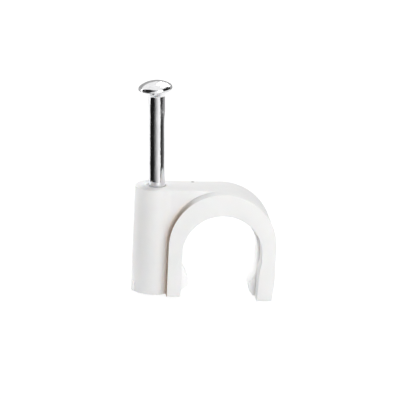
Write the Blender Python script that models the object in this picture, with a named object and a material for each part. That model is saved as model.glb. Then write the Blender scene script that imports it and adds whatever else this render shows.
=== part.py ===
"""Round cable clip with its masonry nail.

The body is one plastic moulding: a round boss for the nail, a flat web, and a hook that arches over the
cable. The hook has a flange along its front edge and a barb inside the foot of each leg. The nail stands in
the boss, ready to be driven, and leans a little away from the hook. Its head sits slightly askew.

Metres. X runs from the boss to the hook, Y from the front to the back, and Z up from the wall. The origin
is the middle of the bottom of the whole clip's bounding box.
"""
import math

import bmesh
import bpy
from mathutils import Matrix, Vector

# Nail
NAIL_DIAMETER = 0.0024
NAIL_LENGTH = 0.0304
NAIL_POINT_LENGTH = 0.0026
NAIL_POINT_FLAT = 0.0002
NAIL_LEAN = 2.3
HEAD_RADIUS = 0.00244
HEAD_DOME = 0.00085
HEAD_RIM = 0.00034
HEAD_CONE = 0.00105
HEAD_FLARE = 1.4
HEAD_OFF_CENTRE = 0.0002
HEAD_TILT = 3.5

# Boss and its bore
BORE_MOUTH_PLAY = 0.00042
BORE_MOUTH_DEPTH = 0.0006
BORE_TAPER = 0.0003
BORE_BACK_SHIFT = 0.0003
NAIL_CLEARANCE = 0.0003
BOSS_WALL = 0.00143
NAIL_SIDE_SHIFT = 0.0001
POINT_ABOVE_BASE = 0.0007
GATE_STUB_HEIGHT = 0.0015
GATE_STUB_WIDTH = 0.0008
GATE_STUB_REACH = 0.0002
GATE_STUB_LIFT = 0.00005
GATE_STUB_TURN = 20.0

# Web between the boss and the hook
WEB_DEPTH = 0.0050

# Hook
SEAT_RADIUS = 0.00545
SEAT_CENTRE_HEIGHT = 0.00665
CROWN_THICKNESS = 0.0032
LEG_WALL = 0.00205
LEG_FROM_BOSS_AXIS = 0.0017
SEAT_FRONT_SETBACK = 0.0006
FLANGE_DEPTH = 0.0020
LIP_STEP = 0.0003
NEAR_FOOT_LIFT = 0.0002
FAR_FOOT_DROP = 0.0003

# Barbs, measured up from the foot of their own leg
BARB_REACH = 0.0010
BARB_ROUND = 0.0005
BARB_SLOPE_TOP = 0.0036
BARB_SHOULDER = 0.00185
NEAR_BARB_HEEL = 0.00115
FAR_BARB_HEEL = 0.00095
NEAR_BARB_UNDERSIDE = 0.0002
FAR_BARB_UNDERSIDE = 0.00005
FAR_TOE_INSET = 0.00045
FAR_TOE_STEP = 0.0003

# Far leg, measured up from its own foot
FAR_LIP_BEND_TOP = 0.0059
FAR_LIP_BEND_END = 0.0044
FAR_LIP_RUNOUT = 0.00006
FAR_TAPER_HEIGHT = 0.0028
FAR_TAPER_INSET = 0.0003

EDGE_ROUND = 0.0001
BOSS_SEGMENTS = 72
NAIL_SEGMENTS = 48
OUTER_ARC_STEPS = 28
INNER_ARC_STEPS = 56
BARB_STEPS = 5
EDGE_STEPS = 2
FLARE_STEPS = 8
DOME_STEPS = 7
OVERCUT = 0.001

# Sizes that follow from the ones above
NAIL_RADIUS = NAIL_DIAMETER / 2
GRIP_RADIUS = NAIL_RADIUS + NAIL_CLEARANCE
MOUTH_RADIUS = NAIL_RADIUS + BORE_MOUTH_PLAY
BOSS_RADIUS = MOUTH_RADIUS + BOSS_WALL
LIP_RADIUS = SEAT_RADIUS + LIP_STEP
OUTER_RADIUS = LIP_RADIUS + LEG_WALL
BODY_HEIGHT = SEAT_CENTRE_HEIGHT + LIP_RADIUS + CROWN_THICKNESS
HOOK_X = LEG_FROM_BOSS_AXIS + OUTER_RADIUS
ARCH_CENTRE_HEIGHT = BODY_HEIGHT - OUTER_RADIUS
BACK_Y = WEB_DEPTH / 2
WEB_FRONT_Y = -WEB_DEPTH / 2
SEAT_FRONT_Y = WEB_FRONT_Y + SEAT_FRONT_SETBACK
FLANGE_FRONT_Y = WEB_FRONT_Y - FLANGE_DEPTH
NEAR_FOOT_Z = NEAR_FOOT_LIFT
FAR_FOOT_Z = -FAR_FOOT_DROP


def clear_scene():
    for old in list(bpy.data.objects):
        bpy.data.objects.remove(old, do_unlink=True)


def principled(name, colour, roughness, metallic):
    material = bpy.data.materials.new(name)
    material.use_nodes = True
    shader = material.node_tree.nodes["Principled BSDF"]
    shader.inputs["Base Color"].default_value = (*colour, 1.0)
    shader.inputs["Roughness"].default_value = roughness
    shader.inputs["Metallic"].default_value = metallic
    return material


def add_object(name, mesh_builder, material=None):
    """Object made from a bmesh, shaded smooth with its real corners kept sharp."""
    mesh = bpy.data.meshes.new(name)
    mesh_builder.to_mesh(mesh)
    mesh_builder.free()
    obj = bpy.data.objects.new(name, mesh)
    bpy.context.scene.collection.objects.link(obj)
    if material:
        mesh.materials.append(material)
    mesh.shade_smooth()
    mesh.set_sharp_from_angle(angle=math.radians(35))
    return obj


def arc(centre_x, centre_z, radius, start, end, steps):
    """Points of an arc in the XZ plane, both ends included. Angles in degrees, from +X towards +Z."""
    angles = [math.radians(start + (end - start) * i / steps) for i in range(steps + 1)]
    return [(centre_x + radius * math.cos(a), centre_z + radius * math.sin(a)) for a in angles]


def tangent_angle(point, centre, radius, side):
    """Angle on a circle where the line from an outside point touches it. side is +1 or -1."""
    dx = point[0] - centre[0]
    dz = point[1] - centre[1]
    return math.atan2(dz, dx) + side * math.acos(radius / math.hypot(dx, dz))


def barb(toe_inset, underside_height, heel_height):
    """Barb inside a leg, top to bottom, as (reach from the seat wall, height above the foot).

    A slope leads the cable in to a rounded shoulder, a short upright face and a rounded heel.
    """
    slope_top = (0.0, BARB_SLOPE_TOP)
    underside = (toe_inset, underside_height)
    shoulder = (BARB_REACH - BARB_ROUND, BARB_SHOULDER)
    heel = (BARB_REACH - BARB_ROUND, heel_height)
    start = math.degrees(tangent_angle(slope_top, shoulder, BARB_ROUND, -1))
    end = math.degrees(tangent_angle(underside, heel, BARB_ROUND, 1))
    over = arc(*shoulder, BARB_ROUND, start, 0, BARB_STEPS)
    under = arc(*heel, BARB_ROUND, 0, end, BARB_STEPS)
    return [slope_top, *over, *under, underside, (toe_inset, 0.0)]


def outer_near_outline():
    """Outside of the near leg and half the arch, from the near foot up to the crown."""
    foot = (HOOK_X - OUTER_RADIUS, NEAR_FOOT_Z)
    return [foot, *arc(HOOK_X, ARCH_CENTRE_HEIGHT, OUTER_RADIUS, 180, 90, OUTER_ARC_STEPS)]


def outer_far_outline():
    """Outside of the rest of the arch and the far leg, from the crown down to the far foot."""
    far_x = HOOK_X + OUTER_RADIUS
    down = arc(HOOK_X, ARCH_CENTRE_HEIGHT, OUTER_RADIUS, 90, 0, OUTER_ARC_STEPS)[1:]
    return [*down, (far_x, FAR_FOOT_Z + FAR_TAPER_HEIGHT), (far_x - FAR_TAPER_INSET, FAR_FOOT_Z)]


def lip_outline():
    """Inner edge of the front flange, from the far foot over the cable to the near foot."""
    wall_x = HOOK_X + SEAT_RADIUS
    foot_x = wall_x - (FAR_TOE_INSET - FAR_TOE_STEP)
    points = [(foot_x, FAR_FOOT_Z)]
    steps = 4
    for i in range(steps + 1):
        share = i / steps
        ease = share * share * (3 - 2 * share)
        step = FAR_LIP_RUNOUT + (LIP_STEP - FAR_LIP_RUNOUT) * ease
        height = FAR_LIP_BEND_END + (FAR_LIP_BEND_TOP - FAR_LIP_BEND_END) * share
        points.append((wall_x + step, FAR_FOOT_Z + height))
    points += arc(HOOK_X, SEAT_CENTRE_HEIGHT, LIP_RADIUS, 0, 180, INNER_ARC_STEPS)
    points.append((HOOK_X - LIP_RADIUS, NEAR_FOOT_Z))
    return points


def seat_outline():
    """Where the cable lies inside the hook, with a barb on each leg, from the far foot to the near foot."""
    far_wall = HOOK_X + SEAT_RADIUS
    near_wall = HOOK_X - SEAT_RADIUS
    far_barb = barb(FAR_TOE_INSET, FAR_BARB_UNDERSIDE, FAR_BARB_HEEL)
    near_barb = barb(0.0, NEAR_BARB_UNDERSIDE, NEAR_BARB_HEEL)
    far = [(far_wall - reach, FAR_FOOT_Z + height) for reach, height in reversed(far_barb)]
    near = [(near_wall + reach, NEAR_FOOT_Z + height) for reach, height in near_barb]
    return far + arc(HOOK_X, SEAT_CENTRE_HEIGHT, SEAT_RADIUS, 0, 180, INNER_ARC_STEPS) + near


def extrude_towards_front(bm, faces, distance):
    """Carry a set of faces forward, and return their copies in the order given."""
    centres = [face.calc_center_median() for face in faces]
    edges = list({edge for face in faces for edge in face.edges})
    result = bmesh.ops.extrude_face_region(bm, geom=faces + edges)
    moved = [item for item in result["geom"] if isinstance(item, bmesh.types.BMFace)]
    verts = [item for item in result["geom"] if isinstance(item, bmesh.types.BMVert)]
    bmesh.ops.translate(bm, verts=verts, vec=(0, -distance, 0))
    shift = Vector((0, -distance, 0))
    ordered = []
    for centre in centres:
        ordered.append(min(moved, key=lambda face: (face.calc_center_median() - centre - shift).length))
    return ordered


def edges_in_plane(bm, y, keep):
    """Sharp edges that lie in one plane across Y and pass a test on their middle point."""
    found = []
    for edge in bm.edges:
        flat = all(abs(v.co.y - y) < 1e-7 for v in edge.verts)
        if flat and len(edge.link_faces) == 2 and edge.calc_face_angle() > math.radians(60):
            middle = (edge.verts[0].co + edge.verts[1].co) / 2
            if keep(middle):
                found.append(edge)
    return found


def round_edges(bm, edges):
    bmesh.ops.bevel(bm, geom=edges, offset=EDGE_ROUND, offset_type="OFFSET", segments=EDGE_STEPS,
                    profile=0.5, affect="EDGES", clamp_overlap=True)


def hook_and_web():
    """Web, cable seat and flange as three faces side by side, each carried forward to its own depth."""
    bm = bmesh.new()
    made = {}

    def vert(point):
        key = (round(point[0], 8), round(point[1], 8))
        if key not in made:
            made[key] = bm.verts.new((point[0], BACK_Y, point[1]))
        return made[key]

    near = outer_near_outline()
    far = outer_far_outline()
    lip = lip_outline()
    seat = seat_outline()
    near_x = HOOK_X - OUTER_RADIUS
    web_face = bm.faces.new([vert(p) for p in [(0.0, 0.0), (near_x, 0.0), *near, (0.0, BODY_HEIGHT)]])
    flange_face = bm.faces.new([vert(p) for p in near + far + lip])
    seat_face = bm.faces.new([vert(p) for p in seat + lip[::-1]])
    faces = extrude_towards_front(bm, [web_face, flange_face, seat_face], BACK_Y - SEAT_FRONT_Y)
    faces = extrude_towards_front(bm, faces[:2], SEAT_FRONT_SETBACK)
    extrude_towards_front(bm, faces[1:], FLANGE_DEPTH)
    bmesh.ops.recalc_face_normals(bm, faces=bm.faces)
    clear_of_boss = LEG_FROM_BOSS_AXIS * 0.5
    rims = edges_in_plane(bm, FLANGE_FRONT_Y, lambda middle: True)
    rims += edges_in_plane(bm, BACK_Y, lambda middle: middle.x > clear_of_boss)
    rims += edges_in_plane(bm, WEB_FRONT_Y, lambda middle: middle.z > BODY_HEIGHT - EDGE_ROUND)
    round_edges(bm, rims)
    return bm


def turned(profile, segments):
    """Closed solid of rings up the Z axis. Each ring of the profile is (radius, height, shift along X)."""
    bm = bmesh.new()
    rings = []
    angles = [2 * math.pi * i / segments for i in range(segments)]
    for radius, height, shift in profile:
        ring = [(shift + radius * math.cos(a), radius * math.sin(a), height) for a in angles]
        rings.append([bm.verts.new(point) for point in ring])
    for low, high in zip(rings, rings[1:]):
        for i in range(segments):
            j = (i + 1) % segments
            bm.faces.new((low[i], low[j], high[j], high[i]))
    bm.faces.new(rings[0][::-1])
    bm.faces.new(rings[-1])
    return bm


def boss():
    """Round boss, with both rims rounded off."""
    bm = turned([(BOSS_RADIUS, 0.0, 0.0), (BOSS_RADIUS, BODY_HEIGHT, 0.0)], BOSS_SEGMENTS)
    rims = [edge for edge in bm.edges if abs(edge.verts[0].co.z - edge.verts[1].co.z) < 1e-9]
    round_edges(bm, rims)
    return bm


def bore_cutter():
    """Nail hole along the nail's own axis: a shallow mouth, a short taper, then the hole for the shank."""
    below = -(BODY_HEIGHT + FAR_FOOT_DROP + OVERCUT)
    taper_end = -(BORE_MOUTH_DEPTH + BORE_TAPER)
    profile = [
        (GRIP_RADIUS, below, 0.0),
        (GRIP_RADIUS, taper_end, 0.0),
        (MOUTH_RADIUS, -BORE_MOUTH_DEPTH, -NAIL_SIDE_SHIFT),
        (MOUTH_RADIUS, OVERCUT, -NAIL_SIDE_SHIFT),
    ]
    return turned(profile, NAIL_SEGMENTS)


def gate_stub():
    """Stub left on the boss where the plastic entered the mould, on the left and a little to the front."""
    bm = bmesh.new()
    bmesh.ops.create_cube(bm, size=1.0)
    depth = BOSS_WALL / 2 + GATE_STUB_REACH
    bmesh.ops.scale(bm, verts=bm.verts, vec=(depth, GATE_STUB_WIDTH, GATE_STUB_HEIGHT))
    middle_x = -(BOSS_RADIUS + GATE_STUB_REACH) + depth / 2
    bmesh.ops.translate(bm, verts=bm.verts, vec=(middle_x, 0, GATE_STUB_LIFT + GATE_STUB_HEIGHT / 2))
    turn = Matrix.Rotation(math.radians(GATE_STUB_TURN), 3, "Z")
    bmesh.ops.rotate(bm, verts=bm.verts, matrix=turn)
    return bm


def nail_axis_matrix():
    """Places a thing drawn up Z on the nail's axis, with its origin level with the top of the boss."""
    lean = Matrix.Rotation(-math.radians(NAIL_LEAN), 4, "Y")
    return Matrix.Translation((NAIL_SIDE_SHIFT, BORE_BACK_SHIFT, BODY_HEIGHT)) @ lean


def add_boolean(obj, name, operation, other):
    modifier = obj.modifiers.new(name, "BOOLEAN")
    modifier.operation = operation
    modifier.solver = "EXACT"
    modifier.object = other
    other.hide_render = True
    other.display_type = "WIRE"
    other.hide_set(True)


def make_clip_body(parent):
    white = principled("white_moulded_plastic", (0.86, 0.86, 0.85), 0.38, 0.0)
    body = add_object("clip_body", hook_and_web(), white)
    boss_guide = add_object("boss_guide", boss())
    stub_guide = add_object("gate_stub_guide", gate_stub())
    bore_guide = add_object("bore_guide", bore_cutter())
    bore_guide.matrix_world = nail_axis_matrix()
    add_boolean(body, "Boss", "UNION", boss_guide)
    add_boolean(body, "Gate stub", "UNION", stub_guide)
    add_boolean(body, "Nail bore", "DIFFERENCE", bore_guide)
    for piece in (body, boss_guide, stub_guide, bore_guide):
        piece.parent = parent
    return body


def nail_profile():
    """Nail from its point to the top of its head, in heights above the point."""
    rim_top = NAIL_LENGTH - HEAD_DOME
    rim_bottom = rim_top - HEAD_RIM
    neck = rim_bottom - HEAD_CONE
    profile = [(NAIL_POINT_FLAT, 0.0, 0.0), (NAIL_RADIUS, NAIL_POINT_LENGTH, 0.0), (NAIL_RADIUS, neck, 0.0)]
    for i in range(1, FLARE_STEPS + 1):
        share = i / FLARE_STEPS
        radius = NAIL_RADIUS + (HEAD_RADIUS - NAIL_RADIUS) * share ** HEAD_FLARE
        profile.append((radius, neck + HEAD_CONE * share, 0.0))
    profile.append((HEAD_RADIUS, rim_top, 0.0))
    dome_radius = (HEAD_RADIUS ** 2 + HEAD_DOME ** 2) / (2 * HEAD_DOME)
    for i in range(1, DOME_STEPS + 1):
        radius = HEAD_RADIUS * (1 - i / (DOME_STEPS + 0.6))
        profile.append((radius, NAIL_LENGTH - dome_radius + math.sqrt(dome_radius ** 2 - radius ** 2), 0.0))
    return profile


def set_head_askew(bm):
    """Moves the head off the shank's axis and tilts it, more and more from the neck up to the rim."""
    neck = NAIL_LENGTH - HEAD_DOME - HEAD_RIM - HEAD_CONE
    for vertex in bm.verts:
        share = min(1.0, max(0.0, (vertex.co.z - neck) / HEAD_CONE))
        vertex.co.z += share * vertex.co.x * math.tan(math.radians(HEAD_TILT))
        vertex.co.x -= share * HEAD_OFF_CENTRE


def make_nail(parent):
    steel = principled("zinc_plated_steel", (0.62, 0.62, 0.63), 0.18, 1.0)
    bm = turned(nail_profile(), NAIL_SEGMENTS)
    set_head_askew(bm)
    nail = add_object("nail", bm, steel)
    lean = math.radians(NAIL_LEAN)
    below_top = (BODY_HEIGHT - POINT_ABOVE_BASE) / math.cos(lean)
    nail.matrix_world = nail_axis_matrix() @ Matrix.Translation((0, 0, -below_top))
    nail.parent = parent
    return nail


def stand_on_origin(carrier, pieces):
    """Move the clip so that the middle of its bounding box's bottom is the origin."""
    bpy.context.view_layer.update()
    depsgraph = bpy.context.evaluated_depsgraph_get()
    points = []
    for piece in pieces:
        shape = piece.evaluated_get(depsgraph)
        mesh = shape.to_mesh()
        points += [shape.matrix_world @ vertex.co for vertex in mesh.vertices]
        shape.to_mesh_clear()
    low = Vector([min(point[i] for point in points) for i in range(3)])
    high = Vector([max(point[i] for point in points) for i in range(3)])
    middle = (low + high) / 2
    carrier.location = (-middle.x, -middle.y, -low.z)
    bpy.context.view_layer.update()


def build():
    clear_scene()
    carrier = bpy.data.objects.new("clip_origin", None)
    bpy.context.scene.collection.objects.link(carrier)
    pieces = [make_clip_body(carrier), make_nail(carrier)]
    stand_on_origin(carrier, pieces)


build()
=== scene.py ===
"""Round cable clip of white moulded plastic with its bright nail, standing on a pale floor.

The clip body and the nail are remade here with the rounded edges, fillets and small marks of the real
ones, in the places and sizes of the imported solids, apart from a closer bore and a rounder rim on the nail's
head. They are drawn in millimetres, measured from the boss's axis at the level of its bottom, until
stand_in_frame puts a finished piece in the frame's metres. Cards and cloth are drawn in millimetres of the
frame. Lights, floor and the patterns of the materials are in metres.
"""

import math

import bmesh
import bpy
from mathutils import Matrix, Vector


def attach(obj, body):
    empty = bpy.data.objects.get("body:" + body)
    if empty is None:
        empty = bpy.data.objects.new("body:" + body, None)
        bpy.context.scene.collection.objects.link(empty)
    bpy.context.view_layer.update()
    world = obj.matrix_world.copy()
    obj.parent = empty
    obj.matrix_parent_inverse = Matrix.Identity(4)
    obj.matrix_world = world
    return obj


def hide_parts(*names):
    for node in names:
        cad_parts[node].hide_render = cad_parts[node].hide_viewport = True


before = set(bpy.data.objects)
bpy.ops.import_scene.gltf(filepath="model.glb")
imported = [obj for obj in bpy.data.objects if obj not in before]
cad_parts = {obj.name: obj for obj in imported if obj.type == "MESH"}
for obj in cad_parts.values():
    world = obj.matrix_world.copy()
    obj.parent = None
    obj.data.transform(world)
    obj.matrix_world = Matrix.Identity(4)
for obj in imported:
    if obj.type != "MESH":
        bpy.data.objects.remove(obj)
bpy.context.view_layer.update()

# Where the boss's axis meets the level of its bottom, in the frame, in millimetres
BOSS_PLACE = Vector((-7.055, 0.725, 0.3))

# Boss
BOSS_RADIUS = 3.05
BODY_HEIGHT = 15.6
BOSS_FOOT_ROUND = 0.12
WEB_FILLET = 1.3
BORE_MOUTH_RADIUS = 1.46
BORE_GRIP_RADIUS = 1.26
BORE_MOUTH_DEPTH = 0.36
BORE_LIP_ROUND = 0.1
BORE_BACK_SHIFT = 0.3
NAIL_SIDE_SHIFT = 0.1
STUB_HEIGHT = 1.5
STUB_REACH = 0.2
STUB_TURN = 20
STUB_DEPTH = 0.9
STUB_WIDTH = 0.8
STUB_LIFT = 0.04
STUB_ROUND = 0.1

# Hook, web and flange
HOOK_X = 9.5
OUTER_RADIUS = 7.8
OUTER_CENTRE_Z = 7.8
SEAT_RADIUS = 5.45
SEAT_CENTRE_Z = 6.65
LIP_RADIUS = 5.75
BACK_Y = 2.5
SEAT_FRONT_Y = -1.9
BARB_REACH = 1.0
BARB_ROUND = 0.5
BARB_UPPER_HEIGHT = 1.85
BARB_SLOPE_TOP = 3.6
BARB_BEND_TOP = 4.4
FLANGE_FRONT_Y = -4.5
NEAR_FOOT_Z = 0.2
FAR_FOOT_Z = -0.3
FAR_TOE_REACH = 0.15
FAR_LEG_TAPER = 0.3
FAR_LEG_TAPER_HEIGHT = 2.8
STEP_REACH = 0.06
STEP_HEIGHT = 4.4
STEP_RISE = 1.5
FLANGE_ROUND = 0.09
TOP_ROUND = 0.12
ARCH_OVERLAP = 1.2

# Small offset that keeps two faces from lying in one plane
HAIR = 0.002

# Nail
NAIL_RADIUS = 1.2
NAIL_LENGTH = 30.397
NAIL_LEAN = 2.3
POINT_ABOVE_BASE = 0.7
POINT_LENGTH = 2.6
HEAD_RADIUS = 2.44
HEAD_DOME = 0.85
HEAD_EDGE_ROUND = 0.5
HEAD_RIM = 0.34
RIM_ROUND = 0.06
RIM_DROP = 0.05
RIM_RISE = 0.08
HEAD_CONE = 1.05
HEAD_FLARE = 1.4
HEAD_OFF_CENTRE = 0.2
HEAD_TILT = 3.5

# Cloth on the floor, in millimetres from the frame's origin and degrees of azimuth
CLOTH_INNER = 17
CLOTH_OUTER = 250
CLOTH_LIFT = 0.2
CLOTH_START = -40
CLOTH_END = -100

# Lights, in metres
LIGHT_DISTANCE = 0.45
LIGHTS_AIM = Vector((0.0, 0.0, 0.011))

# Photograph, in pixels
PICTURE_WIDTH = 400
PIXELS_TO_MILLIMETRE = 6.9
ARCH_RIGHT_OF_MIDDLE = 19.87
ARCH_BELOW_MIDDLE = 36.69


# Meshes

def mesh_object(name, bm):
    mesh = bpy.data.meshes.new(name)
    bm.to_mesh(mesh)
    bm.free()
    obj = bpy.data.objects.new(name, mesh)
    bpy.context.scene.collection.objects.link(obj)
    return obj


def arc(centre_x, centre_z, radius, start, end, steps):
    """Points of an arc, both ends included, in degrees from +X towards +Z."""
    angles = [math.radians(start + (end - start) * i / steps) for i in range(steps + 1)]
    return [(centre_x + radius * math.cos(a), centre_z + radius * math.sin(a)) for a in angles]


def tangent_angle(point, centre, radius, side):
    dx = point[0] - centre[0]
    dz = point[1] - centre[1]
    return math.atan2(dz, dx) + side * math.acos(radius / math.hypot(dx, dz))


def barb(toe_inset, underside_height, lower_round):
    """Barb inside a leg, top to bottom, as (reach from the seat wall, height above the foot)."""
    slope_top = (0.0, BARB_SLOPE_TOP)
    underside = (toe_inset, underside_height)
    upper = (BARB_REACH - BARB_ROUND, BARB_UPPER_HEIGHT)
    lower = (BARB_REACH - BARB_ROUND, lower_round)
    start = math.degrees(tangent_angle(slope_top, upper, BARB_ROUND, -1))
    end = math.degrees(tangent_angle(underside, lower, BARB_ROUND, 1))
    over = arc(*upper, BARB_ROUND, start, 0, 8)
    under = arc(*lower, BARB_ROUND, 0, end, 8)
    bend_end = 0.5 * (BARB_SLOPE_TOP + over[0][1])
    bend = []
    for i in range(9):
        share = i / 8
        rest = 1 - share
        reach = 0.5 * over[0][0] * share ** 2
        height = BARB_BEND_TOP * rest ** 2 + 2 * BARB_SLOPE_TOP * share * rest + bend_end * share ** 2
        bend.append((reach, height))
    return [*bend, *over, *under, underside, (toe_inset, 0.0)]


def lip_outline():
    """Inner edge of the flange, from the far foot over the cable to the near foot."""
    wall_x = HOOK_X + SEAT_RADIUS
    step = LIP_RADIUS - SEAT_RADIUS - STEP_REACH
    points = [(wall_x - FAR_TOE_REACH, FAR_FOOT_Z)]
    for i in range(9):
        share = i / 8
        ease = share * share * (3 - 2 * share)
        points.append((wall_x + STEP_REACH + step * ease, FAR_FOOT_Z + STEP_HEIGHT + STEP_RISE * share))
    points += arc(HOOK_X, SEAT_CENTRE_Z, LIP_RADIUS, 0, 180, 96)
    points.append((HOOK_X - LIP_RADIUS, NEAR_FOOT_Z))
    return points


def seat_outline():
    """Where the cable lies, with a barb on each leg, from the far foot to the near foot."""
    far_wall = HOOK_X + SEAT_RADIUS
    near_wall = HOOK_X - SEAT_RADIUS
    far_barb = barb(toe_inset=0.45, underside_height=0.05, lower_round=0.95)
    near_barb = barb(toe_inset=0.0, underside_height=0.2, lower_round=1.15)
    far = [(far_wall - reach, FAR_FOOT_Z + z) for reach, z in reversed(far_barb)]
    near = [(near_wall + reach, NEAR_FOOT_Z + z) for reach, z in near_barb]
    return far + arc(HOOK_X, SEAT_CENTRE_Z, SEAT_RADIUS, 0, 180, 96) + near


def carry_forward(bm, faces, distance):
    """Extrude faces towards the front, and return their copies in the order given."""
    centres = [face.calc_center_median() for face in faces]
    edges = list({edge for face in faces for edge in face.edges})
    result = bmesh.ops.extrude_face_region(bm, geom=faces + edges)
    moved = [item for item in result["geom"] if isinstance(item, bmesh.types.BMFace)]
    verts = [item for item in result["geom"] if isinstance(item, bmesh.types.BMVert)]
    shift = Vector((0, -distance, 0))
    bmesh.ops.translate(bm, verts=verts, vec=shift)
    ends = [centre + shift for centre in centres]
    return [min(moved, key=lambda face: (face.calc_center_median() - end).length) for end in ends]


def sharp_edges(bm, keep):
    """Corners of more than 50 degrees whose ends pass a test."""
    found = []
    for edge in bm.edges:
        if len(edge.link_faces) == 2 and edge.calc_face_angle() > math.radians(50):
            if keep(edge.verts[0].co, edge.verts[1].co):
                found.append(edge)
    return found


def round_off(bm, edges, radius, segments=4):
    bmesh.ops.bevel(bm, geom=edges, offset=radius, offset_type="OFFSET", segments=segments, profile=0.5,
                    affect="EDGES", clamp_overlap=True)


def in_plane(axis, value, keep=lambda middle: True):
    def test(a, b):
        return abs(a[axis] - value) < 1e-4 and abs(b[axis] - value) < 1e-4 and keep((a + b) / 2)
    return test


def hook():
    """Flange and cable seat as two faces side by side, each carried forward to its own depth."""
    bm = bmesh.new()
    made = {}

    def vert(point):
        key = (round(point[0], 5), round(point[1], 5))
        if key not in made:
            made[key] = bm.verts.new((point[0], BACK_Y, point[1]))
        return made[key]

    near_x = HOOK_X - OUTER_RADIUS
    far_x = HOOK_X + OUTER_RADIUS
    outer = [(near_x, NEAR_FOOT_Z), *arc(HOOK_X, OUTER_CENTRE_Z, OUTER_RADIUS, 180, 0, 96)]
    outer += [(far_x, FAR_FOOT_Z + FAR_LEG_TAPER_HEIGHT), (far_x - FAR_LEG_TAPER, FAR_FOOT_Z)]
    lip = lip_outline()
    flange_face = bm.faces.new([vert(p) for p in outer + lip])
    seat_face = bm.faces.new([vert(p) for p in seat_outline() + lip[::-1]])
    faces = carry_forward(bm, [flange_face, seat_face], BACK_Y - SEAT_FRONT_Y)
    carry_forward(bm, faces[:1], SEAT_FRONT_Y - FLANGE_FRONT_Y)
    bmesh.ops.recalc_face_normals(bm, faces=bm.faces)
    round_off(bm, sharp_edges(bm, in_plane(1, FLANGE_FRONT_Y)), FLANGE_ROUND)
    round_off(bm, sharp_edges(bm, in_plane(1, BACK_Y)), TOP_ROUND)
    return bm


def turned(profile, segments):
    """Closed solid of rings up the Z axis. Each ring of the profile is (radius, height)."""
    bm = bmesh.new()
    rings = []
    for radius, height in profile:
        angles = [2 * math.pi * i / segments for i in range(segments)]
        rings.append([bm.verts.new((radius * math.cos(a), radius * math.sin(a), height)) for a in angles])
    for low, high in zip(rings, rings[1:]):
        for i in range(segments):
            j = (i + 1) % segments
            bm.faces.new((low[i], low[j], high[j], high[i]))
    bm.faces.new(rings[0][::-1])
    bm.faces.new(rings[-1])
    return bm


def boss_and_web():
    """Round boss that runs through fillets into the web, as one upright form with rounded rims."""
    centre_y = BACK_Y + WEB_FILLET
    centre_x = math.sqrt((BOSS_RADIUS + WEB_FILLET) ** 2 - centre_y ** 2)
    meet = math.degrees(math.atan2(centre_y, centre_x))
    back = arc(centre_x, centre_y, WEB_FILLET, 270, 180 + meet, 8)
    round_side = arc(0, 0, BOSS_RADIUS, meet, 360 - meet, 88)[1:-1]
    front = [(x, -y) for x, y in reversed(back)]
    end_x = HOOK_X - 0.1
    outline = [(end_x, BACK_Y), *back, *round_side, *front, (end_x, -BACK_Y)]
    bm = upright(outline, 0.0, BODY_HEIGHT)
    back_verts = [v for v in bm.verts if v.co.y > BACK_Y - 1e-4]
    bmesh.ops.translate(bm, verts=back_verts, vec=(0, -HAIR, 0))
    top = in_plane(2, BODY_HEIGHT, lambda middle: middle.x < end_x - 0.01)
    round_off(bm, sharp_edges(bm, top), TOP_ROUND)
    round_off(bm, sharp_edges(bm, in_plane(2, 0.0)), BOSS_FOOT_ROUND, 3)
    return bm


def upright(outline, low, high):
    """Closed form carried up from an outline in X and Y."""
    bm = bmesh.new()
    face = bm.faces.new([bm.verts.new((x, y, low)) for x, y in outline])
    result = bmesh.ops.extrude_face_region(bm, geom=[face])
    verts = [item for item in result["geom"] if isinstance(item, bmesh.types.BMVert)]
    bmesh.ops.translate(bm, verts=verts, vec=(0, 0, high - low))
    bmesh.ops.recalc_face_normals(bm, faces=bm.faces)
    return bm


def under_arch():
    """Everything inside the middle line of the hook, which the web stops short of."""
    mid = OUTER_RADIUS - ARCH_OVERLAP
    outline = arc(HOOK_X, OUTER_CENTRE_Z, mid, 0, 180, 48)
    outline += [(HOOK_X - mid, 5.0), (1.9, 4.0), (1.9, -2.0), (HOOK_X + mid, -2.0)]
    bm = upright(outline, -6.0, 6.0)
    bmesh.ops.rotate(bm, verts=bm.verts, matrix=Matrix.Rotation(math.radians(90), 3, "X"))
    return bm


def boss_heel():
    """Round lower end of the boss, behind the near leg."""
    radius = BOSS_RADIUS - 5 * HAIR
    bottom = 2 * HAIR
    bm = turned([(radius, bottom), (radius, 7.0)], 96)
    round_off(bm, sharp_edges(bm, in_plane(2, bottom)), BOSS_FOOT_ROUND, 3)
    return bm


def bore_mouth():
    """Upright mouth of the bore, with a rounded lip."""
    lip = BORE_LIP_ROUND
    top = BODY_HEIGHT
    throat = 0.9
    mouth_end = top - BORE_MOUTH_DEPTH
    profile = [(throat, mouth_end - 0.5), (throat, mouth_end - 0.3), (BORE_MOUTH_RADIUS, mouth_end)]
    for i in range(6):
        turn = math.radians(90 * i / 5)
        radius = BORE_MOUTH_RADIUS + lip - lip * math.cos(turn)
        profile.append((radius, top - lip + lip * math.sin(turn) + 0.001 * i))
    profile.append((BORE_MOUTH_RADIUS + lip, top + 1.0))
    bm = turned(profile, 64)
    bmesh.ops.translate(bm, verts=bm.verts, vec=(0, BORE_BACK_SHIFT, 0))
    return bm


def nail_axis():
    """Leans a thing drawn up Z as the nail leans, and crosses the boss's top where the nail does."""
    lean = Matrix.Rotation(-math.radians(NAIL_LEAN), 4, "Y")
    return Matrix.Translation((NAIL_SIDE_SHIFT, BORE_BACK_SHIFT, BODY_HEIGHT)) @ lean


def bore_grip():
    """Narrow part of the bore, along the nail."""
    bm = turned([(BORE_GRIP_RADIUS, -BODY_HEIGHT - 2.0), (BORE_GRIP_RADIUS, -BORE_MOUTH_DEPTH + 0.1)], 64)
    bmesh.ops.transform(bm, matrix=nail_axis(), verts=bm.verts)
    return bm


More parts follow.
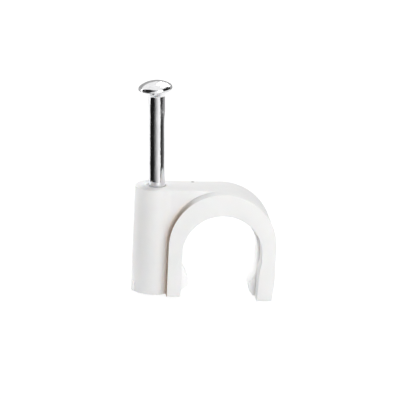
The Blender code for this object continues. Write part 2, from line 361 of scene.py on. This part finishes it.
def gate_stub():
    """What is left on the boss where the plastic entered the mould, on the left and a little to the front."""
    bm = bmesh.new()
    bmesh.ops.create_cube(bm, size=1.0)
    bmesh.ops.scale(bm, verts=bm.verts, vec=(STUB_DEPTH, STUB_WIDTH, STUB_HEIGHT))
    bmesh.ops.bevel(bm, geom=bm.edges[:], offset=STUB_ROUND, segments=3, profile=0.5, affect="EDGES")
    middle = (STUB_DEPTH / 2 - BOSS_RADIUS - STUB_REACH, 0, STUB_LIFT + STUB_HEIGHT / 2)
    bmesh.ops.translate(bm, verts=bm.verts, vec=middle)
    bmesh.ops.rotate(bm, verts=bm.verts, matrix=Matrix.Rotation(math.radians(STUB_TURN), 3, "Z"))
    return bm


def combine(body, other, operation):
    """Boolean with the result applied, and the helper removed."""
    modifier = body.modifiers.new("Join", "BOOLEAN")
    modifier.operation = operation
    modifier.solver = "EXACT"
    modifier.object = other
    bpy.context.view_layer.update()
    depsgraph = bpy.context.evaluated_depsgraph_get()
    result = bpy.data.meshes.new_from_object(body.evaluated_get(depsgraph))
    body.modifiers.clear()
    old = body.data
    body.data = result
    bpy.data.meshes.remove(old)
    bpy.data.objects.remove(other, do_unlink=True)


def stand_in_frame(obj, smooth_angle):
    """From the boss's millimetres to the frame's metres."""
    place = Matrix.Scale(0.001, 4) @ Matrix.Translation(BOSS_PLACE)
    obj.data.transform(place)
    obj.data.shade_smooth()
    obj.data.set_sharp_from_angle(angle=math.radians(smooth_angle))
    obj.data.update()


def make_clip_body(material):
    web = mesh_object("web_form", boss_and_web())
    combine(web, mesh_object("under_arch_form", under_arch()), "DIFFERENCE")
    body = mesh_object("moulded_clip_body", hook())
    combine(body, web, "UNION")
    combine(body, mesh_object("heel_form", boss_heel()), "UNION")
    combine(body, mesh_object("gate_form", gate_stub()), "UNION")
    combine(body, mesh_object("mouth_form", bore_mouth()), "DIFFERENCE")
    combine(body, mesh_object("grip_form", bore_grip()), "DIFFERENCE")
    stand_in_frame(body, 32)
    body.data.materials.clear()
    body.data.materials.append(material)
    return body


# Nail, turned by a node tree

def nail_stations():
    """Stations up the nail's axis, as (height above the point, radius)."""
    rim_top = NAIL_LENGTH - HEAD_DOME
    rim_bottom = rim_top - HEAD_RIM
    neck = rim_bottom - HEAD_CONE
    stations = [(0.0, 0.12), (0.06, 0.2), (POINT_LENGTH - 0.3, 0.93 * NAIL_RADIUS),
                (POINT_LENGTH - 0.15, 0.98 * NAIL_RADIUS), (POINT_LENGTH, NAIL_RADIUS)]
    for i in range(1, 12):
        stations.append((POINT_LENGTH + (neck - POINT_LENGTH) * i / 12, NAIL_RADIUS))
    for i in range(0, 17):
        share = i / 16
        radius = NAIL_RADIUS + (HEAD_RADIUS - RIM_ROUND - NAIL_RADIUS) * share ** HEAD_FLARE
        stations.append((neck + (HEAD_CONE - RIM_DROP) * share, radius))
    for i in range(1, 5):
        turn = math.radians(22.5 * i)
        height = rim_bottom - RIM_DROP + RIM_RISE * math.sin(turn)
        stations.append((height, HEAD_RADIUS - RIM_ROUND * math.cos(turn)))
    dome_radius = (HEAD_RADIUS ** 2 + HEAD_DOME ** 2) / (2 * HEAD_DOME)
    dome_centre = NAIL_LENGTH - dome_radius
    edge_in = HEAD_RADIUS - HEAD_EDGE_ROUND
    edge_up = math.sqrt((dome_radius - HEAD_EDGE_ROUND) ** 2 - edge_in ** 2)
    edge_turn = math.atan2(edge_up, edge_in)
    for i in range(0, 13):
        turn = edge_turn * i / 12
        stations.append((dome_centre + edge_up + HEAD_EDGE_ROUND * math.sin(turn),
                         edge_in + HEAD_EDGE_ROUND * math.cos(turn)))
    for i in range(1, 21):
        radius = dome_radius * math.cos(edge_turn) * (1 - i / 20.4)
        stations.append((dome_centre + math.sqrt(dome_radius ** 2 - radius ** 2), radius))
    return stations


def turning_tree(material):
    """Node tree that turns a piece from its axis, each point of which carries a radius."""
    tree = bpy.data.node_groups.new("Turned piece", "GeometryNodeTree")
    tree.interface.new_socket("Geometry", in_out="INPUT", socket_type="NodeSocketGeometry")
    tree.interface.new_socket("Facets round", in_out="INPUT", socket_type="NodeSocketInt")
    tree.interface.new_socket("Geometry", in_out="OUTPUT", socket_type="NodeSocketGeometry")
    nodes = tree.nodes
    link = tree.links.new
    entry = nodes.new("NodeGroupInput")
    leave = nodes.new("NodeGroupOutput")
    to_curve = nodes.new("GeometryNodeMeshToCurve")
    radius = nodes.new("GeometryNodeInputNamedAttribute")
    radius.data_type = "FLOAT"
    radius.inputs["Name"].default_value = "turned_radius"
    ring = nodes.new("GeometryNodeCurvePrimitiveCircle")
    ring.inputs["Radius"].default_value = 1.0
    sweep = nodes.new("GeometryNodeCurveToMesh")
    sweep.inputs["Fill Caps"].default_value = True
    realize = nodes.new("GeometryNodeRealizeInstances")
    finish = nodes.new("GeometryNodeSetMaterial")
    finish.inputs["Material"].default_value = material
    link(entry.outputs["Geometry"], to_curve.inputs["Mesh"])
    link(entry.outputs["Facets round"], ring.inputs["Resolution"])
    link(to_curve.outputs["Curve"], sweep.inputs["Curve"])
    link(ring.outputs["Curve"], sweep.inputs["Profile Curve"])
    link(radius.outputs["Attribute"], sweep.inputs["Scale"])
    link(sweep.outputs["Mesh"], realize.inputs["Geometry"])
    link(realize.outputs["Geometry"], finish.inputs["Geometry"])
    link(finish.outputs["Geometry"], leave.inputs["Geometry"])
    return tree


def turn_piece(name, stations, facets, material):
    mesh = bpy.data.meshes.new(name + "_axis")
    mesh.from_pydata([(0, 0, height) for height, _ in stations],
                     [(i, i + 1) for i in range(len(stations) - 1)], [])
    radius = mesh.attributes.new("turned_radius", "FLOAT", "POINT")
    radius.data.foreach_set("value", [station[1] for station in stations])
    piece = bpy.data.objects.new(name, mesh)
    bpy.context.scene.collection.objects.link(piece)
    modifier = piece.modifiers.new("Turned piece", "NODES")
    tree = turning_tree(material)
    modifier.node_group = tree
    facets_socket = next(item for item in tree.interface.items_tree if item.name == "Facets round")
    modifier[facets_socket.identifier] = facets
    bpy.context.view_layer.update()
    depsgraph = bpy.context.evaluated_depsgraph_get()
    result = bpy.data.meshes.new_from_object(piece.evaluated_get(depsgraph))
    piece.modifiers.clear()
    piece.data = result
    return piece


def make_nail(material):
    nail = turn_piece("bright_nail", nail_stations(), 96, material)
    bm = bmesh.new()
    bm.from_mesh(nail.data)
    bmesh.ops.remove_doubles(bm, verts=bm.verts, dist=1e-5)
    bmesh.ops.recalc_face_normals(bm, faces=bm.faces)
    rim_bottom = NAIL_LENGTH - HEAD_DOME - HEAD_RIM
    for vertex in bm.verts:
        share = min(1.0, max(0.0, (vertex.co.z - rim_bottom + HEAD_CONE) / HEAD_CONE))
        vertex.co.z += share * vertex.co.x * math.tan(math.radians(HEAD_TILT))
        vertex.co.x -= share * HEAD_OFF_CENTRE
    below_top = (BODY_HEIGHT - POINT_ABOVE_BASE) / math.cos(math.radians(NAIL_LEAN))
    bmesh.ops.transform(bm, matrix=nail_axis() @ Matrix.Translation((0, 0, -below_top)), verts=bm.verts)
    bm.to_mesh(nail.data)
    bm.free()
    stand_in_frame(nail, 40)
    return nail


# Materials

def new_material(name):
    material = bpy.data.materials.new(name)
    material.use_nodes = True
    nodes = material.node_tree.nodes
    return material, nodes, material.node_tree.links.new, nodes["Principled BSDF"]


def noise(nodes, link, source, scale, detail, stretch=(1, 1, 1)):
    """Noise on Object coordinates, with its scale in spots per metre."""
    mapping = nodes.new("ShaderNodeMapping")
    mapping.inputs["Scale"].default_value = stretch
    link(source, mapping.inputs["Vector"])
    texture = nodes.new("ShaderNodeTexNoise")
    texture.inputs["Scale"].default_value = scale
    texture.inputs["Detail"].default_value = detail
    link(mapping.outputs["Vector"], texture.inputs["Vector"])
    return texture.outputs["Fac"]


def ramp(nodes, link, factor, stops):
    node = nodes.new("ShaderNodeValToRGB")
    elements = node.color_ramp.elements
    while len(elements) < len(stops):
        elements.new(0.5)
    for element, (place, colour) in zip(elements, stops):
        element.position = place
        element.color = colour
    link(factor, node.inputs["Fac"])
    return node.outputs["Color"]


def span(nodes, link, factor, low, high):
    node = nodes.new("ShaderNodeMapRange")
    node.inputs["To Min"].default_value = low
    node.inputs["To Max"].default_value = high
    link(factor, node.inputs["Value"])
    return node.outputs["Result"]


def maths(nodes, link, operation, first, second):
    """Math node on two values, each a socket or a number."""
    node = nodes.new("ShaderNodeMath")
    node.operation = operation
    for socket, value in zip(node.inputs, (first, second)):
        if isinstance(value, (int, float)):
            socket.default_value = value
        else:
            link(value, socket)
    return node.outputs[0]


def tinted(nodes, link, colour, tint, share):
    """Colour that goes over to the tint by a share of 0 to 1."""
    node = nodes.new("ShaderNodeMix")
    node.data_type = "RGBA"
    node.inputs["B"].default_value = tint
    link(share, node.inputs["Factor"])
    link(colour, node.inputs["A"])
    return node.outputs["Result"]


def eased(nodes, link, value, start, end):
    """Share that runs smoothly from 0 at the start to 1 at the end."""
    node = nodes.new("ShaderNodeMapRange")
    node.interpolation_type = "SMOOTHSTEP"
    node.inputs["From Min"].default_value = start
    node.inputs["From Max"].default_value = end
    link(value, node.inputs["Value"])
    return node.outputs["Result"]


def seen_share(nodes, link):
    """1 for what is seen directly, in a reflection or through a clear piece, 0 for light on the object."""
    path = nodes.new("ShaderNodeLightPath")
    direct = maths(nodes, link, "MAXIMUM", path.outputs["Is Camera Ray"], path.outputs["Is Glossy Ray"])
    return maths(nodes, link, "MAXIMUM", direct, path.outputs["Is Transmission Ray"])


def white_moulded_plastic():
    """White polyethylene as it comes from the mould: faintly cloudy, satin, with a very fine skin."""
    material, nodes, link, shader = new_material("white_moulded_plastic")
    place = nodes.new("ShaderNodeTexCoord").outputs["Object"]
    clouds = noise(nodes, link, place, 320, 3)
    colour = ramp(nodes, link, clouds, [(0.3, (0.86, 0.86, 0.856, 1)), (0.7, (0.885, 0.885, 0.882, 1))])
    # Painted shade: a warm tan on the web beside the flange's step and a brown line on the step's wall, where
    # the flange leaves them in shade
    line, tan = painted_step_shade(nodes, link, place)
    colour = tinted(nodes, link, colour, (0.9, 0.82, 0.75, 1), tan)
    colour = tinted(nodes, link, colour, (0.33, 0.24, 0.175, 1), line)
    colour = tinted(nodes, link, colour, (0.25, 0.25, 0.25, 1), fleck(nodes, link, place))
    link(colour, shader.inputs["Base Color"])
    link(span(nodes, link, noise(nodes, link, place, 900, 4), 0.5, 0.62), shader.inputs["Roughness"])
    shader.inputs["Specular IOR Level"].default_value = 0.3
    shader.inputs["Subsurface Weight"].default_value = 0.15
    shader.inputs["Subsurface Radius"].default_value = (0.0012, 0.0008, 0.0005)
    shader.inputs["Subsurface Scale"].default_value = 1.0
    bump = nodes.new("ShaderNodeBump")
    bump.inputs["Strength"].default_value = 0.12
    bump.inputs["Distance"].default_value = 0.00004
    link(noise(nodes, link, place, 2600, 3), bump.inputs["Height"])
    link(bump.outputs["Normal"], shader.inputs["Normal"])
    return material


def fleck(nodes, link, place):
    """Share of the small grey fleck at the back edge of the web's top."""
    away = nodes.new("ShaderNodeVectorMath")
    away.operation = "DISTANCE"
    away.inputs[1].default_value = (Vector((5.45, 2.0, BODY_HEIGHT)) + BOSS_PLACE) / 1000
    link(place, away.inputs[0])
    node = nodes.new("ShaderNodeMapRange")
    node.inputs["From Min"].default_value = 0.0003
    node.inputs["From Max"].default_value = 0.00015
    link(away.outputs["Value"], node.inputs["Value"])
    return node.outputs["Result"]


def painted_step_shade(nodes, link, place):
    """Shares of painted shade: a brown line on the flange's outer step beside the boss, where the step lies
    in shade, and a warm tan shade on the web next to it.
    """
    axes = nodes.new("ShaderNodeSeparateXYZ")
    link(place, axes.inputs[0])
    x = maths(nodes, link, "SUBTRACT", axes.outputs["X"], (BOSS_PLACE.x + HOOK_X) / 1000)
    z = maths(nodes, link, "SUBTRACT", axes.outputs["Z"], (BOSS_PLACE.z + OUTER_CENTRE_Z) / 1000)
    above = maths(nodes, link, "MAXIMUM", z, 0.0)
    x_squared = maths(nodes, link, "POWER", x, 2.0)
    above_squared = maths(nodes, link, "POWER", above, 2.0)
    reach = maths(nodes, link, "POWER", maths(nodes, link, "ADD", x_squared, above_squared), 0.5)
    side = eased(nodes, link, x, -0.0035, -0.0072)
    step = maths(nodes, link, "COMPARE", reach, OUTER_RADIUS / 1000)
    step.node.inputs[2].default_value = 0.00005
    forward = eased(nodes, link, axes.outputs["Y"], (BOSS_PLACE.y - BACK_Y + 0.4) / 1000,
                    (BOSS_PLACE.y + FLANGE_FRONT_Y + 0.5) / 1000)
    # Brown line of painted shade on the flange's outer wall, strongest on the near leg and towards the
    # flange's front
    line = maths(nodes, link, "MULTIPLY", step, maths(nodes, link, "MULTIPLY", forward, side))
    # Warm tan of painted shade on the web and boss just beside the step, fading away from it
    beyond = maths(nodes, link, "GREATER_THAN", reach, (OUTER_RADIUS - 0.05) / 1000)
    near = eased(nodes, link, reach, (OUTER_RADIUS + 0.5) / 1000, OUTER_RADIUS / 1000)
    front = eased(nodes, link, axes.outputs["Y"], BOSS_PLACE.y / 1000, (BOSS_PLACE.y - 1.5) / 1000)
    tan = maths(nodes, link, "MULTIPLY", maths(nodes, link, "MULTIPLY", beyond, front),
                maths(nodes, link, "MULTIPLY", near, side))
    return line, tan


def bright_zinc():
    """Drawn steel wire with bright zinc plating: fine lengthwise marks and small dents."""
    material, nodes, link, shader = new_material("bright_zinc_plating")
    place = nodes.new("ShaderNodeTexCoord").outputs["Object"]
    streaks = noise(nodes, link, place, 2400, 4, (1, 1, 0.16))
    colour = ramp(nodes, link, streaks, [(0.3, (0.78, 0.78, 0.79, 1)), (0.7, (0.9, 0.9, 0.91, 1))])
    link(colour, shader.inputs["Base Color"])
    shader.inputs["Metallic"].default_value = 1.0
    link(span(nodes, link, streaks, 0.07, 0.15), shader.inputs["Roughness"])
    bump = nodes.new("ShaderNodeBump")
    bump.inputs["Strength"].default_value = 0.6
    bump.inputs["Distance"].default_value = 0.00007
    link(noise(nodes, link, place, 1300, 4, (1, 1, 0.35)), bump.inputs["Height"])
    link(bump.outputs["Normal"], shader.inputs["Normal"])
    return material


# Stage

def floor_material():
    """Pale floor. Seen directly or in a reflection it is paper white, and still takes the clip's shadow."""
    material, nodes, link, shader = new_material("pale_floor")
    nodes.remove(shader)
    lit = nodes.new("ShaderNodeBsdfDiffuse")
    lit.inputs["Color"].default_value = (0.62, 0.62, 0.62, 1)
    pale = nodes.new("ShaderNodeBsdfDiffuse")
    pale.inputs["Color"].default_value = (0.2, 0.2, 0.2, 1)
    glow = nodes.new("ShaderNodeEmission")
    glow.inputs["Strength"].default_value = 0.9
    both = nodes.new("ShaderNodeAddShader")
    mix = nodes.new("ShaderNodeMixShader")
    link(pale.outputs[0], both.inputs[0])
    link(glow.outputs[0], both.inputs[1])
    link(seen_share(nodes, link), mix.inputs[0])
    link(lit.outputs[0], mix.inputs[1])
    link(both.outputs[0], mix.inputs[2])
    link(mix.outputs[0], nodes["Material Output"].inputs["Surface"])
    return material


def make_floor():
    bm = bmesh.new()
    bmesh.ops.create_circle(bm, cap_ends=True, segments=64, radius=3.0)
    floor = mesh_object("floor", bm)
    floor.data.materials.append(floor_material())


def make_world():
    world = bpy.data.worlds.new("studio")
    bpy.context.scene.world = world
    world.use_nodes = True
    nodes = world.node_tree.nodes
    link = world.node_tree.links.new
    strength = span(nodes, link, seen_share(nodes, link), 0.1, 1.0)
    link(strength, nodes["Background"].inputs["Strength"])
    nodes["Background"].inputs["Color"].default_value = (1, 1, 1, 1)


def area_light(name, azimuth, elevation, size, power):
    """Soft light aimed at the clip. Azimuth 0 is in front, 90 to the right."""
    a = math.radians(azimuth)
    e = math.radians(elevation)
    away = Vector((math.sin(a) * math.cos(e), -math.cos(a) * math.cos(e), math.sin(e)))
    data = bpy.data.lights.new(name, "AREA")
    data.shape = "SQUARE"
    data.size = size
    data.energy = power
    light = bpy.data.objects.new(name, data)
    light.location = LIGHTS_AIM + away * LIGHT_DISTANCE
    light.rotation_mode = "QUATERNION"
    light.rotation_quaternion = away.to_track_quat("Z", "Y")
    bpy.context.scene.collection.objects.link(light)


def card(name, start, end, radius, low, high, stops):
    """Upright card curved round the nail, out of the camera's sight, that only shiny surfaces pick up.

    Azimuth 0 is in front, 90 to the right. The stops give its brightness from the start to the end.
    """
    bm = bmesh.new()
    along = bm.verts.layers.float.new("along")
    steps = 64
    rows = []
    for height in (low, high):
        row = []
        for i in range(steps + 1):
            azimuth = math.radians(start + (end - start) * i / steps)
            x = BOSS_PLACE.x + math.sin(azimuth) * radius
            y = BOSS_PLACE.y - math.cos(azimuth) * radius
            vertex = bm.verts.new(Vector((x, y, height)) / 1000)
            vertex[along] = i / steps
            row.append(vertex)
        rows.append(row)
    for i in range(steps):
        bm.faces.new((rows[0][i], rows[0][i + 1], rows[1][i + 1], rows[1][i]))
    obj = mesh_object(name, bm)
    material, nodes, link, shader = new_material(name)
    nodes.remove(shader)
    way = nodes.new("ShaderNodeAttribute")
    way.attribute_name = "along"
    glow = nodes.new("ShaderNodeEmission")
    greys = [(place, (shade, shade, shade, 1)) for place, shade in stops]
    link(ramp(nodes, link, way.outputs["Fac"], greys), glow.inputs["Color"])
    link(glow.outputs[0], nodes["Material Output"].inputs["Surface"])
    obj.data.materials.append(material)
    obj.visible_camera = False
    obj.visible_diffuse = False
    obj.visible_shadow = False
    obj.visible_transmission = False


def dark_cloth():
    """Dark cloth over the floor on the camera's left, out of sight, dark above and clear from below."""
    bm = bmesh.new()
    steps = 24
    rows = []
    turns = [math.radians(CLOTH_START + (CLOTH_END - CLOTH_START) * i / steps) for i in range(steps + 1)]
    for radius in (CLOTH_INNER, CLOTH_OUTER):
        points = [Vector((math.sin(a) * radius, -math.cos(a) * radius, CLOTH_LIFT)) for a in turns]
        rows.append([bm.verts.new(point / 1000) for point in points])
    for i in range(steps):
        bm.faces.new((rows[0][i], rows[0][i + 1], rows[1][i + 1], rows[1][i]))
    obj = mesh_object("dark_cloth", bm)
    material, nodes, link, shader = new_material("dark_cloth")
    place = nodes.new("ShaderNodeTexCoord").outputs["Object"]
    link(ramp(nodes, link, noise(nodes, link, place, 300, 2),
              [(0.3, (0.02, 0.02, 0.02, 1)), (0.7, (0.04, 0.04, 0.04, 1))]), shader.inputs["Base Color"])
    shader.inputs["Roughness"].default_value = 0.9
    shader.inputs["Specular IOR Level"].default_value = 0.1
    under = nodes.new("ShaderNodeMixShader")
    link(nodes.new("ShaderNodeNewGeometry").outputs["Backfacing"], under.inputs["Fac"])
    link(shader.outputs["BSDF"], under.inputs[1])
    link(nodes.new("ShaderNodeBsdfTransparent").outputs["BSDF"], under.inputs[2])
    link(under.outputs["Shader"], nodes["Material Output"].inputs["Surface"])
    obj.data.materials.append(material)
    obj.visible_camera = False
    obj.visible_shadow = False


# Camera

def make_camera():
    """Camera at the photograph's angle: 6.6 degrees to the left, 17.2 up, rolled 2.7 clockwise."""
    side = math.radians(6.57)
    height = math.radians(17.21)
    roll = math.radians(2.73)
    distance = 492.75
    look = Vector((math.sin(side) * math.cos(height), math.cos(side) * math.cos(height), -math.sin(height)))
    right = Vector((math.cos(side), -math.sin(side), 0))
    up = right.cross(look)
    right_rolled = right * math.cos(roll) + up * math.sin(roll)
    up_rolled = up * math.cos(roll) - right * math.sin(roll)
    arch_middle = Vector((9.565, 0.0, 7.97)) + BOSS_PLACE
    place = arch_middle - look * distance
    target = arch_middle - right_rolled * (ARCH_RIGHT_OF_MIDDLE / PIXELS_TO_MILLIMETRE)
    target += up_rolled * (ARCH_BELOW_MIDDLE / PIXELS_TO_MILLIMETRE)
    back = (place - target).normalized()
    across = up_rolled.cross(back).normalized()
    upward = back.cross(across)
    turn = Matrix((across, upward, back)).transposed()
    data = bpy.data.cameras.new("camera")
    data.sensor_width = 36.0
    data.lens = data.sensor_width * distance / (PICTURE_WIDTH / PIXELS_TO_MILLIMETRE)
    data.clip_start = 0.01
    data.clip_end = 20.0
    camera = bpy.data.objects.new("camera", data)
    camera.matrix_world = Matrix.Translation(place / 1000) @ turn.to_4x4()
    bpy.context.scene.collection.objects.link(camera)
    bpy.context.scene.camera = camera


bpy.context.scene.view_settings.view_transform = "Standard"
clip_body = make_clip_body(white_moulded_plastic())
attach(clip_body, "root")
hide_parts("clip_body")
nail = make_nail(bright_zinc())
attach(nail, "root")
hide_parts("nail")
make_floor()
make_world()
area_light("front_light", 0, 15, 0.2, 0.76)
area_light("front_right_light", 20, 20, 0.28, 0.86)
area_light("left_light", -110, 15, 0.28, 1.04)
area_light("low_left_back_light", -135, 3, 0.2, 1.08)
area_light("high_right_back_light", 150, 45, 0.28, 1.31)
dark_cloth()
card("left_card", -108, 20, 26, 7.6, 21.3,
     [(0.0, 0.01), (0.48, 0.01), (0.62, 0.16), (0.74, 0.42), (0.84, 0.68), (0.95, 0.88), (1.0, 1.0)])
card("right_card", 46, 114, 26, 7.6, 21.3, [(0.0, 0.04), (0.38, 0.04), (0.66, 0.14), (1.0, 0.3)])
card("left_hood", -112, 12, 60, 25.5, 150.0,
     [(0.0, 0.01), (0.58, 0.01), (0.78, 0.3), (0.94, 0.8), (1.0, 1.0)])
card("right_hood", 48, 140, 60, 26.5, 130.0, [(0.0, 0.02), (1.0, 0.02)])
card("back_card", 115, 245, 26, 20.0, 44.0, [(0.0, 0.42), (1.0, 0.42)])
make_camera()
